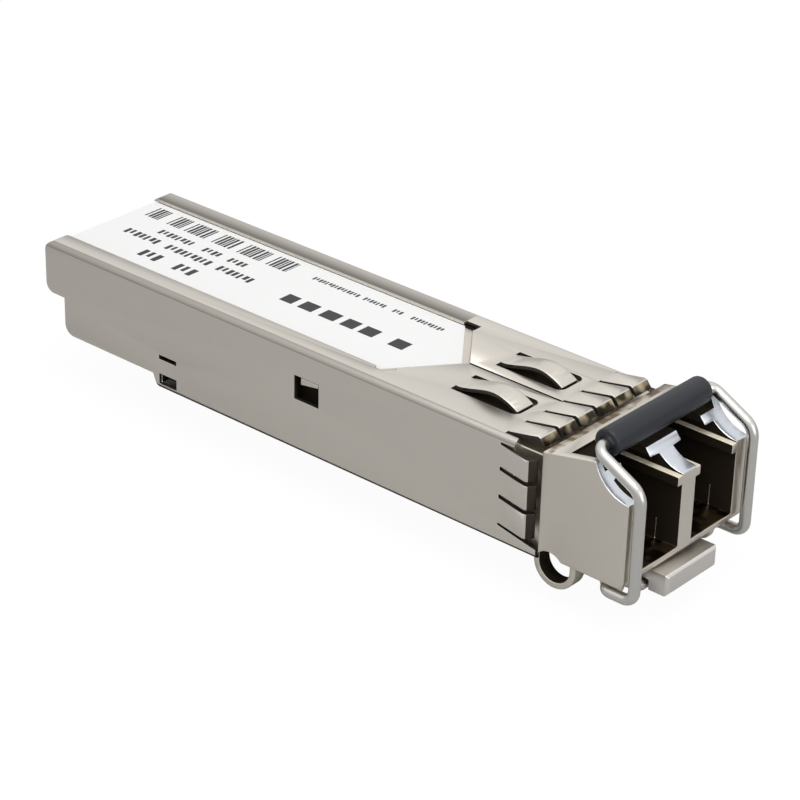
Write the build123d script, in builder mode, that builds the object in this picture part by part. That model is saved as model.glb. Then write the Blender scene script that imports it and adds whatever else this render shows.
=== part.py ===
# Pluggable optical transceiver with a duplex receptacle and a bail latch.
# Millimetres. The origin is at the shoulder of the latch boss, on the centre line, in the plane of
# the underside. +X points to the optical ports, +Z up. The transmitter is on the -Y side.
import os
from math import radians, tan

from build123d import *

os.makedirs("parts", exist_ok=True)

# Case: lengths along X are counted from the latch shoulder
REAR_X = -45.0
SKIRT_REAR_X = -43.0
BOTTOM_REAR_X = -32.8
SHELL_FRONT_X = 3.9
NOSE_REAR_X = 4.2
NOSE_FRONT_X = 11.5
SHELL_W = 13.4
SHELL_H = 8.5
SHEET = 0.3
BEND_R = 0.5
SEAT_GAP = 0.08
STEP_Z = 4.2
SKIRT_Z = 1.15
SKIRT_RAMP = 0.5
REAR_CORNER_R = 0.8
SKIRT_CORNER_R = 0.9

# Top of the shell: rims beside the label, two wings that meet at a seam
RIM_INNER_Y = 4.8
WING_SIDE_X = -11.6
WING_TIP_X = -7.9
SEAM_W = 0.16
NOTCH_L = 1.4
NOTCH_W = 0.55

# Contact springs in the wings: rooted at the rear, humped, with a free front end
SPRING_ROOT_X = -6.4
SPRING_HUMP_X = -2.6
SPRING_TIP_X = -0.8
SPRING_IN_Y = 1.6
SPRING_OUT_Y = 3.35
SPRING_RISE = 0.66
SPRING_DIP = 0.05
SPRING_SLOT = 0.5
SPRING_END_GAP = 0.3
SPRING_CORNER_R = 0.6

# Openings in the sides: catch window, upper and lower slot
WINDOW_X0 = -18.65
WINDOW_X1 = -16.3
WINDOW_Z0 = 4.3
WINDOW_Z1 = 6.2
SLOT_X0 = -32.6
SLOT_L = 1.8
HIGH_SLOT_Z = 2.6
HIGH_SLOT_H = 0.35
LOW_SLOT_Z = 0.5
LOW_SLOT_H = 0.85
CATCH_L = 1.75
CATCH_H = 0.6
CATCH_GAP = 0.02
POCKET_DEPTH = 0.72
POCKET_MARGIN = 0.2

# Shield fingers round the neck
FINGER_START_X = 0.5
FINGER_RIDGE_X = 3.25
FINGER_TIP_X = 3.75
FINGER_RISE = 0.55
FINGER_TIP_DROP = 0.05
FINGER_SLOT = 0.32
TOP_PITCH = 2.05
TOP_FINGERS = 6
SIDE_SLOT_Z = (1.47, 3.72, 5.9, 7.9)
CORNER_OPEN_X = 1.7
FLANK_HALF = 6.22

# Nose casting
NOSE_W = 13.7
NOSE_BOTTOM_Z = 0.75
NOSE_REAR_TOP_Z = 8.66
NOSE_FRONT_TOP_Z = 9.6
NOSE_TOP_FRONT_X = 8.7
SCALLOP_X = 11.6
SCALLOP_Z = 10.4
SCALLOP_R = 3.1
CHANNEL_X = 6.1
CHANNEL_Z = 8.75
CHANNEL_WALL = 0.7
FRONT_CORNER_R = 0.7
NECK_HALF = 6.2
NECK_TOP_Z = 8.0
NECK_BOTTOM_Z = SHEET + SEAT_GAP

# Optical ports
PORT_PITCH = 6.25
PORT_W = 4.65
PORT_FLOOR_Z = 1.6
PORT_TOP_Z = 6.45
PORT_REAR_X = 2.6
LEDGE_TOP_Z = 7.2
LEDGE_W = 0.5
LEDGE_REAR_X = 6.5
HEAD_TOP_Z = 8.15
HEAD_REAR_X = 4.8
HEAD_LOW_Z = 5.0
ROOF_SLOT_W = 2.75
ROOF_SLOT_X = 7.3
AXIS_Z = 4.03
RIB_W = 0.08
RIB_H = 1.6
RIB_FRONT_X = 9.6

# Body casting behind the nose
PLATE_REAR_X = REAR_X + 0.4
PLATE_TOP_Z = SHELL_H - SHEET - SEAT_GAP
PLATE_T = 1.12
PLATE_LOW_Z = PLATE_TOP_Z - PLATE_T
RAIL_OUT_Y = SHELL_W / 2 - SHEET - SEAT_GAP
CAN_R = 2.1
CAN_GAP = 0.075
RAIL_IN_Y = PORT_PITCH / 2 + CAN_R + CAN_GAP
RAIL_REAR_INSET = 0.6
SKIRT_RAIL_GAP = 0.3
WEB_REAR_X = -4.2
WALL_REAR_X = 1.4
LABEL_T = 0.1
LABEL_GAP = 0.05
LABEL_FRONT_GAP = 0.7

# Circuit board
PCB_Z = 2.25
PCB_T = 1.0
PCB_GROOVE = 0.35
PCB_W = 2 * (RAIL_IN_Y + PCB_GROOVE)
PCB_EDGE_W = 9.2
PCB_REAR_X = -41.8
PCB_WIDE_X = -36.0
PCB_FRONT_X = -9.0
PCB_FIT = 0.01
PAD_T = 0.05
PAD_W = 0.5
PAD_PITCH = 0.8
PAD_COUNT = 10
PAD_L = 3.6
PAD_INSET = 0.4

# Chips and small parts on the board
DRIVER_X = -14.5
DRIVER_SIZE = 3.5
AMPLIFIER_SIZE = 3.0
CONTROLLER_X = -23.0
CONTROLLER_SIZE = 4.0
MEMORY_X = -30.0
MEMORY_SIZE = 2.6
CHIP_H = 0.85
CHIP_CHAMFER = 0.1
CHIP_Y = 2.9
COIL_X = -33.4
COIL_L = 2.0
COIL_W = 1.6
COIL_H = 1.1
CAPACITOR_BEHIND = 4.5
CAPACITOR_AHEAD = 2.9
CAPACITOR_ROWS_X = (
    CONTROLLER_X - CAPACITOR_BEHIND,
    DRIVER_X - CAPACITOR_BEHIND,
    DRIVER_X + CAPACITOR_AHEAD,
)
CAPACITOR_Y = (-4.3, -1.1, 1.1, 4.3)
CAPACITOR_L = 1.0
CAPACITOR_W = 0.5

# Optical subassemblies
BARREL_R = 1.05
BARREL_TIP_X = 6.6
BARREL_CHAMFER = 0.2
BARREL_FIT = 0.08
FLANGE_R = 2.05
FLANGE_T = 0.5
HOLDER_R = 1.6
HOLDER_REAR_X = -1.6
BORE_R = 0.626
FERRULE_STOP_X = 2.4
STUB_R = 0.44
STUB_L = 2.0
STUB_FIT = 0.01
CAN_L = 3.3
CAN_NECK_R = 1.85
CAN_FLANGE_T = 0.6
FLEX_T = 0.15
FLEX_W = 2.8
FLEX_TOP_Z = 5.4
FLEX_REAR_X = -10.6
CLAMP_T = 0.6
CLAMP_GAP = 0.05

# Latch boss, slider cavity and stop lugs
BOSS_HALF = 1.3
BOSS_L = 2.6
BOSS_DROP = 0.45
BOSS_FLAT = 0.5
CAVITY_HALF = 3.2
CAVITY_TOP_Z = 0.95
CAVITY_REAR_X = -3.4
LUG_X = 5.2
LUG_Z = -0.1
LUG_R = 1.8
LUG_T = 0.5
LUG_OUT_Y = 6.2
LUG_W = 1.2

# Bail
WIRE_R = 0.42
PIVOT_X = 9.4
PIVOT_Z = -0.05
LEG_GAP = 0.2
LEG_X = NOSE_FRONT_X + LEG_GAP + WIRE_R
LEG_INSET = 0.45
LEG_Y = NOSE_W / 2 - LEG_INSET
ARM_LOW_Z = 8.25
FOOT_BEND_R = 0.85
ARM_BEND_R = 1.3
GRIP_X = 8.3
GRIP_Z = 10.25
GRIP_R = 1.02
GRIP_HALF = 5.4
GRIP_CHAMFER = 0.15
GRIP_FIT = 0.01
CRANK = 0.85
JOG_IN_Y = 3.25
JOG_OUT_Y = 4.45
PIN_IN_Y = 1.9
EAR_IN_Y = 4.9
EAR_OUT_Y = 5.45
EAR_WALL = 0.45
RUN_GAP = 0.05

# Release slider
SLIDER_REAR_X = 2.9
SLIDER_TOP_Z = 0.5
SLIDER_T = 0.6
SLIDER_HALF = 3.05
BLOCK_HALF = 2.9
BLOCK_FRONT_X = 12.35
BLOCK_REAR_X = 9.1
BLOCK_LOW_Z = -1.15
BLOCK_CHAMFER = 0.2
PIN_GAP = 0.12
TINE_REAR_X = 0.45
TINE_IN_Y = 1.45
TINE_LOW_Z = -0.5
TINE_EDGE = 0.15

# Cutting margin past a face, overlap of joined pieces
PAST = 1.0
JOIN = 0.1

PORT_Y = (-PORT_PITCH / 2, PORT_PITCH / 2)


def slab(x0, x1, y0, y1, z0, z1, mode=Mode.ADD):
    """Box between two corners, added to the part being built."""
    with BuildSketch(Plane.XY.offset(z0)) as base:
        with Locations(((x0 + x1) / 2, (y0 + y1) / 2)):
            Rectangle(x1 - x0, y1 - y0)
    extrude(base.sketch, amount=z1 - z0, dir=(0, 0, 1), mode=mode)


def side_profile(points, y0, y1, mode=Mode.ADD):
    """Prism across the case: a closed outline in X and Z, from y0 to y1."""
    with BuildSketch(Plane((0, y0, 0), x_dir=(1, 0, 0), z_dir=(0, -1, 0))) as section:
        with BuildLine():
            Polyline(*points, close=True)
        make_face()
    extrude(section.sketch, amount=y1 - y0, dir=(0, 1, 0), mode=mode)


def plan_profile(points, z0, z1, mode=Mode.ADD):
    """Prism upwards: a closed outline in X and Y, from z0 to z1."""
    with BuildSketch(Plane.XY.offset(z0)) as base:
        with BuildLine():
            Polyline(*points, close=True)
        make_face()
    extrude(base.sketch, amount=z1 - z0, dir=(0, 0, 1), mode=mode)


def rod(x0, x1, y, z, radius, mode=Mode.ADD):
    """Round bar along X."""
    with BuildSketch(Plane((x0, y, z), x_dir=(0, 1, 0), z_dir=(1, 0, 0))) as end:
        Circle(radius)
    extrude(end.sketch, amount=x1 - x0, dir=(1, 0, 0), mode=mode)


def cross_rod(x, y0, y1, z, radius, mode=Mode.ADD):
    """Round bar along Y."""
    with BuildSketch(Plane((x, y0, z), x_dir=(1, 0, 0), z_dir=(0, -1, 0))) as end:
        Circle(radius)
    extrude(end.sketch, amount=y1 - y0, dir=(0, 1, 0), mode=mode)


def straight_run(start, finish, radius):
    """Round bar between two points."""
    along = finish - start
    with BuildSketch(Plane(start, z_dir=along.normalized())) as end:
        Circle(radius)
    extrude(end.sketch, amount=along.length, dir=along.normalized())


# Zinc casting: top plate, rails, neck, nose with both ports, latch boss and stop lugs
half_nose = NOSE_W / 2
nose_outline = [
    (NOSE_REAR_X, NOSE_BOTTOM_Z),
    (NOSE_FRONT_X, NOSE_BOTTOM_Z),
    (NOSE_FRONT_X, NOSE_FRONT_TOP_Z),
    (NOSE_TOP_FRONT_X, NOSE_FRONT_TOP_Z),
    (NOSE_REAR_X, NOSE_REAR_TOP_Z),
]
boss_outline = [
    (-BOSS_L, 0.0),
    (-BOSS_FLAT, -BOSS_DROP),
    (0.0, -BOSS_DROP),
    (0.0, CAVITY_TOP_Z + JOIN),
    (-BOSS_L, CAVITY_TOP_Z + JOIN),
]
channel_half = half_nose - CHANNEL_WALL
port_half = PORT_W / 2
ledge_half = port_half - LEDGE_W
past_front = NOSE_FRONT_X + PAST
past_top = NOSE_FRONT_TOP_Z + PAST
with BuildPart() as housing:
    side_profile(nose_outline, -half_nose, half_nose)
    lower_corner = housing.edges().filter_by(Axis.Y).group_by(Axis.X)[-1].sort_by(Axis.Z)[0]
    fillet(lower_corner, FRONT_CORNER_R)
    slab(WALL_REAR_X, NOSE_REAR_X, -NECK_HALF, NECK_HALF, NECK_BOTTOM_Z, NECK_TOP_Z)
    slab(PLATE_REAR_X, WALL_REAR_X, -RAIL_OUT_Y, RAIL_OUT_Y, PLATE_LOW_Z, PLATE_TOP_Z)
    for side in (-1, 1):
        rail_in, rail_out = sorted((side * RAIL_IN_Y, side * RAIL_OUT_Y))
        slab(BOTTOM_REAR_X, WALL_REAR_X, rail_in, rail_out, NECK_BOTTOM_Z, PLATE_LOW_Z)
        slab(
            SKIRT_REAR_X + RAIL_REAR_INSET, BOTTOM_REAR_X, rail_in, rail_out,
            SKIRT_Z + SKIRT_RAIL_GAP, PLATE_LOW_Z,
        )
        groove_in, groove_out = sorted((side * RAIL_IN_Y, side * (PCB_W / 2 + SEAT_GAP)))
        slab(
            SKIRT_REAR_X, PCB_FRONT_X + SEAT_GAP, groove_in, groove_out,
            PCB_Z - PCB_FIT, PCB_Z + PCB_T + PCB_FIT, mode=Mode.SUBTRACT,
        )
    # Bottom web between the rails, cavity for the release slider, wedge-shaped latch boss
    slab(WEB_REAR_X, WALL_REAR_X, -RAIL_OUT_Y, RAIL_OUT_Y, NECK_BOTTOM_Z, PORT_FLOOR_Z)
    slab(
        CAVITY_REAR_X, NOSE_REAR_X + JOIN, -CAVITY_HALF, CAVITY_HALF, 0, CAVITY_TOP_Z,
        mode=Mode.SUBTRACT,
    )
    side_profile(boss_outline, -BOSS_HALF, BOSS_HALF)
    # Channel for the grip, scallop for the swing of the bail
    slab(CHANNEL_X, past_front, -channel_half, channel_half, CHANNEL_Z, past_top, mode=Mode.SUBTRACT)
    cross_rod(SCALLOP_X, -half_nose - PAST, half_nose + PAST, SCALLOP_Z, SCALLOP_R, mode=Mode.SUBTRACT)
    # Ports: square body, ledges at both sides above it, keyway for the release tab, roof slot
    for y in PORT_Y:
        slab(PORT_REAR_X, past_front, y - port_half, y + port_half, PORT_FLOOR_Z, PORT_TOP_Z, mode=Mode.SUBTRACT)
        slab(
            HEAD_REAR_X, LEDGE_REAR_X, y - port_half, y + port_half, HEAD_LOW_Z, HEAD_TOP_Z,
            mode=Mode.SUBTRACT,
        )
        slab(
            HEAD_REAR_X, past_front, y - ledge_half, y + ledge_half, HEAD_LOW_Z, LEDGE_TOP_Z + JOIN,
            mode=Mode.SUBTRACT,
        )
        slab(
            HEAD_REAR_X, past_front, y - port_half, y + port_half, LEDGE_TOP_Z, HEAD_TOP_Z,
            mode=Mode.SUBTRACT,
        )
        slab(
            ROOF_SLOT_X, past_front, y - ROOF_SLOT_W / 2, y + ROOF_SLOT_W / 2, HEAD_TOP_Z - JOIN, past_top,
            mode=Mode.SUBTRACT,
        )
        rod(WALL_REAR_X - PAST, PORT_REAR_X + PAST, y, AXIS_Z, BARREL_R + BARREL_FIT, mode=Mode.SUBTRACT)
        # Low guide ribs at both sides of the port
        for rib in (-1, 1):
            rib_in, rib_out = sorted((y + rib * (port_half + JOIN), y + rib * (port_half - RIB_W)))
            slab(PORT_REAR_X, RIB_FRONT_X, rib_in, rib_out, PORT_FLOOR_Z - JOIN, PORT_FLOOR_Z + RIB_H)
    for side in (-1, 1):
        # Curved stop lug under each side of the nose
        lug_in, lug_out = sorted((side * (LUG_OUT_Y - LUG_W), side * LUG_OUT_Y))
        cross_rod(LUG_X, lug_in, lug_out, LUG_Z, LUG_R)
        slab(LUG_X - LUG_R, LUG_X + LUG_R, lug_in, lug_out, LUG_Z, NOSE_BOTTOM_Z)
        cross_rod(LUG_X, lug_in - PAST, lug_out + PAST, LUG_Z, LUG_R - LUG_T, mode=Mode.SUBTRACT)
        slab(
            LUG_X - LUG_R + LUG_T, LUG_X + LUG_R - LUG_T, lug_in - PAST, lug_out + PAST,
            LUG_Z, NOSE_BOTTOM_Z, mode=Mode.SUBTRACT,
        )
        # Ear that holds one end of the bail
        ear_in, ear_out = sorted((side * EAR_IN_Y, side * EAR_OUT_Y))
        ear_hole_r = WIRE_R + RUN_GAP
        ear_r = ear_hole_r + EAR_WALL
        cross_rod(PIVOT_X, ear_in, ear_out, PIVOT_Z, ear_r)
        slab(PIVOT_X - ear_r, PIVOT_X + ear_r, ear_in, ear_out, PIVOT_Z, NOSE_BOTTOM_Z + JOIN)
        cross_rod(PIVOT_X, ear_in - JOIN, ear_out + JOIN, PIVOT_Z, ear_hole_r, mode=Mode.SUBTRACT)
        # Snap catch in the side window, pockets behind the window and the slots
        pocket_in, pocket_out = sorted((side * (RAIL_OUT_Y - POCKET_DEPTH), side * (RAIL_OUT_Y + PAST)))
        slab(
            WINDOW_X0 - POCKET_MARGIN, WINDOW_X1 + POCKET_MARGIN, pocket_in, pocket_out,
            WINDOW_Z0 - POCKET_MARGIN, WINDOW_Z1 + POCKET_MARGIN, mode=Mode.SUBTRACT,
        )
        slab(
            SLOT_X0 - POCKET_MARGIN, SLOT_X0 + SLOT_L + POCKET_MARGIN, pocket_in, pocket_out,
            0, HIGH_SLOT_Z + HIGH_SLOT_H + POCKET_MARGIN, mode=Mode.SUBTRACT,
        )
        catch_in, catch_out = sorted(
            (side * (RAIL_OUT_Y - POCKET_DEPTH - JOIN), side * (SHELL_W / 2 - CATCH_GAP))
        )
        slab(
            WINDOW_X1 - CATCH_GAP - CATCH_L, WINDOW_X1 - CATCH_GAP, catch_in, catch_out,
            WINDOW_Z1 - CATCH_GAP - CATCH_H, WINDOW_Z1 - CATCH_GAP,
        )
housing.part.label = "housing"
export_step(housing.part, "parts/housing.step")

# Folded sheet shell: floor, sides, top rims and wings, shield fingers, contact springs
half_w = SHELL_W / 2
inner_w = SHELL_W - 2 * SHEET
inner_h = SHELL_H - 2 * SHEET
above = SHELL_H + PAST
under_top = SHELL_H - 2 * SHEET
past_shell = SHELL_FRONT_X + PAST
side_outline = [
    (REAR_X, SHELL_H),
    (REAR_X, STEP_Z),
    (SKIRT_REAR_X, STEP_Z),
    (SKIRT_REAR_X, SKIRT_Z),
    (BOTTOM_REAR_X - SKIRT_RAMP, SKIRT_Z),
    (BOTTOM_REAR_X, 0),
    (SHELL_FRONT_X, 0),
    (SHELL_FRONT_X, SHELL_H),
]
label_opening = [
    (REAR_X - PAST, -RIM_INNER_Y),
    (WING_SIDE_X, -RIM_INNER_Y),
    (WING_TIP_X, 0),
    (WING_SIDE_X, RIM_INNER_Y),
    (REAR_X - PAST, RIM_INNER_Y),
]
curl = FINGER_TIP_X - FINGER_RIDGE_X
finger = [
    (FINGER_START_X - JOIN, 0.0),
    (FINGER_RIDGE_X - SHEET / 2, FINGER_RISE),
    (FINGER_RIDGE_X + SHEET / 4, FINGER_RISE - SHEET / 4),
    (FINGER_TIP_X, -FINGER_TIP_DROP),
    (FINGER_TIP_X - SHEET / 2, -FINGER_TIP_DROP - SHEET / 2),
    (FINGER_RIDGE_X - SHEET, FINGER_RISE - SHEET - curl / 4),
    (FINGER_START_X - JOIN, -SHEET),
]
with BuildPart() as shell:
    with BuildSketch(Plane((REAR_X, 0, SHELL_H / 2), x_dir=(0, 1, 0), z_dir=(1, 0, 0))):
        RectangleRounded(SHELL_W, SHELL_H, BEND_R)
        RectangleRounded(inner_w, inner_h, BEND_R - SHEET, mode=Mode.SUBTRACT)
    extrude(amount=SHELL_FRONT_X - REAR_X)
    with BuildSketch(Plane((0, -half_w - PAST, 0), x_dir=(1, 0, 0), z_dir=(0, -1, 0))) as outline:
        with BuildLine():
            Polyline(*side_outline, close=True)
        make_face()
        fillet(outline.vertices().group_by(Axis.X)[0], REAR_CORNER_R)
        fillet(outline.vertices().group_by(Axis.X)[2].sort_by(Axis.Y)[0], SKIRT_CORNER_R)
    extrude(amount=-(SHELL_W + 2 * PAST), mode=Mode.INTERSECT)
    # Opening for the label with its pointed front end, seam between the wings
    plan_profile(label_opening, under_top, above, mode=Mode.SUBTRACT)
    slab(WING_TIP_X - PAST, SHELL_FRONT_X, -SEAM_W / 2, SEAM_W / 2, under_top, above, mode=Mode.SUBTRACT)
    # Front: the top, the sides and most of the floor end where the fingers begin
    slab(FINGER_START_X, past_shell, -FLANK_HALF, FLANK_HALF, under_top, above, mode=Mode.SUBTRACT)
    floor_end_x = LUG_X - LUG_R - JOIN
    slab(floor_end_x, past_shell, -FLANK_HALF, FLANK_HALF, -PAST, SHEET + JOIN, mode=Mode.SUBTRACT)
    slab(CAVITY_REAR_X, past_shell, -CAVITY_HALF, CAVITY_HALF, -PAST, SHEET + JOIN, mode=Mode.SUBTRACT)
    for side in (-1, 1):
        wall_in, wall_out = sorted((side * (half_w - 2 * SHEET), side * (half_w + PAST)))
        slab(
            FINGER_START_X, past_shell, wall_in, wall_out, SIDE_SLOT_Z[0], SIDE_SLOT_Z[-1],
            mode=Mode.SUBTRACT,
        )
        slab(
            CORNER_OPEN_X, past_shell, wall_in, wall_out, SIDE_SLOT_Z[-1] - JOIN, above,
            mode=Mode.SUBTRACT,
        )
        # Catch window and two slots in the side, relief notch beside the wing
        slab(WINDOW_X0, WINDOW_X1, wall_in, wall_out, WINDOW_Z0, WINDOW_Z1, mode=Mode.SUBTRACT)
        slab(
            SLOT_X0, SLOT_X0 + SLOT_L, wall_in, wall_out, HIGH_SLOT_Z, HIGH_SLOT_Z + HIGH_SLOT_H,
            mode=Mode.SUBTRACT,
        )
        slab(
            SLOT_X0, SLOT_X0 + SLOT_L, wall_in, wall_out, LOW_SLOT_Z, LOW_SLOT_Z + LOW_SLOT_H,
            mode=Mode.SUBTRACT,
        )
        notch_in, notch_out = sorted((side * (RIM_INNER_Y - NOTCH_W), side * (RIM_INNER_Y + NOTCH_W / 2)))
        slab(
            WING_SIDE_X + NOTCH_W - NOTCH_L, WING_SIDE_X + NOTCH_W, notch_in, notch_out, under_top, above,
            mode=Mode.SUBTRACT,
        )
        # Contact spring in its opening with rounded front corners
        spring_y = side * (SPRING_IN_Y + SPRING_OUT_Y) / 2
        spring_w = SPRING_OUT_Y - SPRING_IN_Y
        opening_l = SPRING_TIP_X + SPRING_END_GAP - SPRING_ROOT_X
        with BuildSketch(Plane.XY.offset(under_top)) as opening:
            with Locations((SPRING_ROOT_X + opening_l / 2, spring_y)):
                Rectangle(opening_l, spring_w + 2 * SPRING_SLOT)
            fillet(opening.vertices().group_by(Axis.X)[-1], SPRING_CORNER_R)
        extrude(opening.sketch, amount=above - under_top, mode=Mode.SUBTRACT)
        strip_start = spring_y - spring_w / 2
        hump = [
            (SPRING_ROOT_X - JOIN, 0.0),
            ((SPRING_ROOT_X + SPRING_HUMP_X) / 2, SPRING_RISE * 0.62),
            (SPRING_HUMP_X, SPRING_RISE),
            ((SPRING_HUMP_X + SPRING_TIP_X) / 2, SPRING_RISE * 0.62),
            (SPRING_TIP_X, -SPRING_DIP),
        ]
        with BuildSketch(Plane((0, strip_start, 0), x_dir=(1, 0, 0), z_dir=(0, -1, 0))) as strip:
            with BuildLine():
                top_line = Spline(*[(x, SHELL_H + rise) for x, rise in hump])
                low_line = Spline(*[(x, SHELL_H + rise - SHEET) for x, rise in hump])
                Line(top_line @ 0, low_line @ 0)
                Line(top_line @ 1, low_line @ 1)
            make_face()
        extrude(strip.sketch, amount=spring_w, dir=(0, 1, 0))
    # Shield fingers: ramps out of the shell whose tips curl back in
    for step in range(TOP_FINGERS):
        y_low = (step - TOP_FINGERS / 2) * TOP_PITCH + FINGER_SLOT / 2
        side_profile([(x, SHELL_H + rise) for x, rise in finger], y_low, y_low + TOP_PITCH - FINGER_SLOT)
    for side in (-1, 1):
        for z_low, z_high in zip(SIDE_SLOT_Z, SIDE_SLOT_Z[1:]):
            outline_xy = [(x, side * (half_w + rise)) for x, rise in finger]
            plan_profile(outline_xy, z_low + FINGER_SLOT / 2, z_high - FINGER_SLOT / 2)
shell.part.label = "shell"
export_step(shell.part, "parts/shell.step")

# Paper label with the pointed front end, on the top plate of the casting
label_half = RIM_INNER_Y - LABEL_GAP
label_outline = [
    (PLATE_REAR_X + JOIN, -label_half),
    (WING_SIDE_X - LABEL_FRONT_GAP, -label_half),
    (WING_TIP_X - LABEL_FRONT_GAP, 0),
    (WING_SIDE_X - LABEL_FRONT_GAP, label_half),
    (PLATE_REAR_X + JOIN, label_half),
]
with BuildPart() as label:
    plan_profile(label_outline, PLATE_TOP_Z, PLATE_TOP_Z + LABEL_T)
label.part.label = "label"
export_step(label.part, "parts/label.step")

# Circuit board, narrow at the edge contacts, wide between the rails
pcb_top = PCB_Z + PCB_T
edge_half = PCB_EDGE_W / 2
wide_half = PCB_W / 2
board_outline = [
    (PCB_REAR_X, -edge_half),
    (PCB_WIDE_X, -edge_half),
    (PCB_WIDE_X, -wide_half),
    (PCB_FRONT_X, -wide_half),
    (PCB_FRONT_X, wide_half),
    (PCB_WIDE_X, wide_half),
    (PCB_WIDE_X, edge_half),
    (PCB_REAR_X, edge_half),
]
with BuildPart() as pcb:
    plan_profile(board_outline, PCB_Z, pcb_top)
pcb.part.label = "pcb"
export_step(pcb.part, "parts/pcb.step")

# Gold contacts on each face of the board's rear edge
pad_x = PCB_REAR_X + PAD_INSET
for row_name, pad_z in (("contacts_top", pcb_top), ("contacts_bottom", PCB_Z - PAD_T)):
    with BuildPart() as contacts:
        for pad in range(PAD_COUNT):
            pad_y = (pad - (PAD_COUNT - 1) / 2) * PAD_PITCH
            slab(pad_x, pad_x + PAD_L, pad_y - PAD_W / 2, pad_y + PAD_W / 2, pad_z, pad_z + PAD_T)
    contacts.part.label = row_name
    export_step(contacts.part, f"parts/{row_name}.step")

# Chips on the board: name, centre, size
chips = (
    ("driver_chip", DRIVER_X, -CHIP_Y, DRIVER_SIZE),
    ("amplifier_chip", DRIVER_X, CHIP_Y, AMPLIFIER_SIZE),
    ("controller_chip", CONTROLLER_X, 0.0, CONTROLLER_SIZE),
    ("memory_chip", MEMORY_X, -CHIP_Y, MEMORY_SIZE),
)
for chip_name, chip_x, chip_y, chip_size in chips:
    half_chip = chip_size / 2
    with BuildPart() as chip:
        slab(
            chip_x - half_chip, chip_x + half_chip, chip_y - half_chip, chip_y + half_chip,
            pcb_top, pcb_top + CHIP_H,
        )
        chamfer(chip.faces().sort_by(Axis.Z)[-1].edges(), CHIP_CHAMFER)
    chip.part.label = chip_name
    export_step(chip.part, f"parts/{chip_name}.step")

# Filter coils near the edge contacts and small capacitors round the chips
with BuildPart() as coils:
    for coil_y in (-COIL_W, COIL_W):
        slab(
            COIL_X - COIL_L / 2, COIL_X + COIL_L / 2, coil_y - COIL_W / 2, coil_y + COIL_W / 2,
            pcb_top, pcb_top + COIL_H,
        )
coils.part.label = "filter_coils"
export_step(coils.part, "parts/filter_coils.step")

with BuildPart() as capacitors:
    for cap_x in CAPACITOR_ROWS_X:
        for cap_y in CAPACITOR_Y:
            slab(
                cap_x - CAPACITOR_L / 2, cap_x + CAPACITOR_L / 2,
                cap_y - CAPACITOR_W / 2, cap_y + CAPACITOR_W / 2,
                pcb_top, pcb_top + CAPACITOR_W,
            )
capacitors.part.label = "capacitors"
export_step(capacitors.part, "parts/capacitors.step")

# Transmitter and receiver: barrel with flange, ceramic stub, can, flexible circuit
flange_front = WALL_REAR_X - CLAMP_GAP
clamp_front = flange_front - FLANGE_T
can_rear = HOLDER_REAR_X - CAN_L
flex_front = can_rear - CAN_FLANGE_T
flex_outline = [
    (flex_front, FLEX_TOP_Z),
    (flex_front - FLEX_T, FLEX_TOP_Z),
    (flex_front - FLEX_T, pcb_top + FLEX_T),
    (FLEX_REAR_X, pcb_top + FLEX_T),
    (FLEX_REAR_X, pcb_top),
    (flex_front, pcb_top),
]
for unit, port_y in zip(("transmitter", "receiver"), PORT_Y):
    with BuildPart() as barrel:
        rod(HOLDER_REAR_X, BARREL_TIP_X, port_y, AXIS_Z, BARREL_R)
        chamfer(barrel.faces().sort_by(Axis.X)[-1].edges(), BARREL_CHAMFER)
        rod(clamp_front, flange_front, port_y, AXIS_Z, FLANGE_R)
        rod(HOLDER_REAR_X, clamp_front + JOIN, port_y, AXIS_Z, HOLDER_R)
        rod(FERRULE_STOP_X, BARREL_TIP_X + PAST, port_y, AXIS_Z, BORE_R, mode=Mode.SUBTRACT)
        rod(
            FERRULE_STOP_X - STUB_L, FERRULE_STOP_X + JOIN, port_y, AXIS_Z, STUB_R + STUB_FIT,
            mode=Mode.SUBTRACT,
        )
    barrel.part.label = f"{unit}_barrel"
    export_step(barrel.part, f"parts/{unit}_barrel.step")

    with BuildPart() as stub:
        rod(FERRULE_STOP_X - STUB_L, FERRULE_STOP_X - STUB_FIT, port_y, AXIS_Z, STUB_R)
    stub.part.label = f"{unit}_stub"
    export_step(stub.part, f"parts/{unit}_stub.step")

    with BuildPart() as can:
        rod(can_rear, HOLDER_REAR_X, port_y, AXIS_Z, CAN_NECK_R)
        rod(flex_front, can_rear, port_y, AXIS_Z, CAN_R)
    can.part.label = f"{unit}_can"
    export_step(can.part, f"parts/{unit}_can.step")

    with BuildPart() as flex:
        side_profile(flex_outline, port_y - FLEX_W / 2, port_y + FLEX_W / 2)
    flex.part.label = f"{unit}_flex"
    export_step(flex.part, f"parts/{unit}_flex.step")

# Clamp plate that holds both flanges against the wall behind the ports
clamp_half = RAIL_IN_Y - CLAMP_GAP
with BuildPart() as clamp:
    slab(clamp_front - CLAMP_T, clamp_front, -clamp_half, clamp_half, PORT_FLOOR_Z, PLATE_LOW_Z)
    for port_y in PORT_Y:
        rod(
            clamp_front - PAST, clamp_front + PAST, port_y, AXIS_Z, HOLDER_R + CLAMP_GAP,
            mode=Mode.SUBTRACT,
        )
clamp.part.label = "clamp_plate"
export_step(clamp.part, "parts/clamp_plate.step")

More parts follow.
